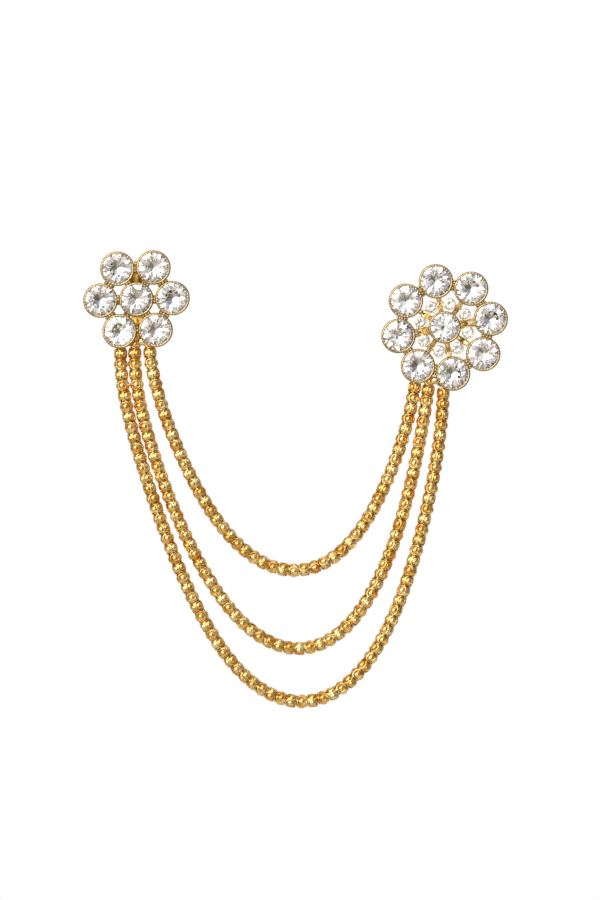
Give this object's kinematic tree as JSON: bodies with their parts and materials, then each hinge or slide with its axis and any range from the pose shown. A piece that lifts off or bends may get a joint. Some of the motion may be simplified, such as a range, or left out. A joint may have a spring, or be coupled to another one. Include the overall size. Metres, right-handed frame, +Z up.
{
  "type": "lapel chain",
  "caption": "Jewelled lapel chain: flower brooches of clear round stones in gold cups, joined by hanging popcorn chains of growing length.",
  "frame": {"origin": "middle of the large brooch's pin stem, straight behind the centre of its flower", "axes": "+Z up as worn, -Y out of the stones' faces, +Y into the cloth, +X towards the large brooch's side"},
  "size_m": [0.1059, 0.0102, 0.1142],
  "materials": {
    "setting_gold": "polished, gold plated",
    "pin_gold": "polished, gold plated",
    "chain_gold": "polished, gold plated",
    "stone": "cut crystal, foiled back",
    "accent_stone": "cut crystal, foiled back"
  },
  "bodies": {
    "root": {"small_setting": "setting_gold", "large_setting": "setting_gold", "small_pin_back": "pin_gold", "large_pin_back": "pin_gold", "small_stone_centre": "stone", "small_stone_1": "stone", "small_stone_2": "stone", "small_stone_3": "stone", "small_stone_4": "stone", "small_stone_5": "stone", "small_stone_6": "stone", "large_stone_centre": "stone", "large_stone_1": "stone", "large_stone_2": "stone", "large_stone_3": "stone", "large_stone_4": "stone", "large_stone_5": "stone", "large_stone_6": "stone", "large_stone_7": "stone", "large_stone_8": "stone", "accent_stone_1": "accent_stone", "accent_stone_2": "accent_stone", "accent_stone_3": "accent_stone", "accent_stone_4": "accent_stone", "accent_stone_5": "accent_stone", "accent_stone_6": "accent_stone", "accent_stone_7": "accent_stone", "accent_stone_8": "accent_stone", "inner_strand": "chain_gold", "middle_strand": "chain_gold", "outer_strand": "chain_gold"}
  },
  "joints": []
}
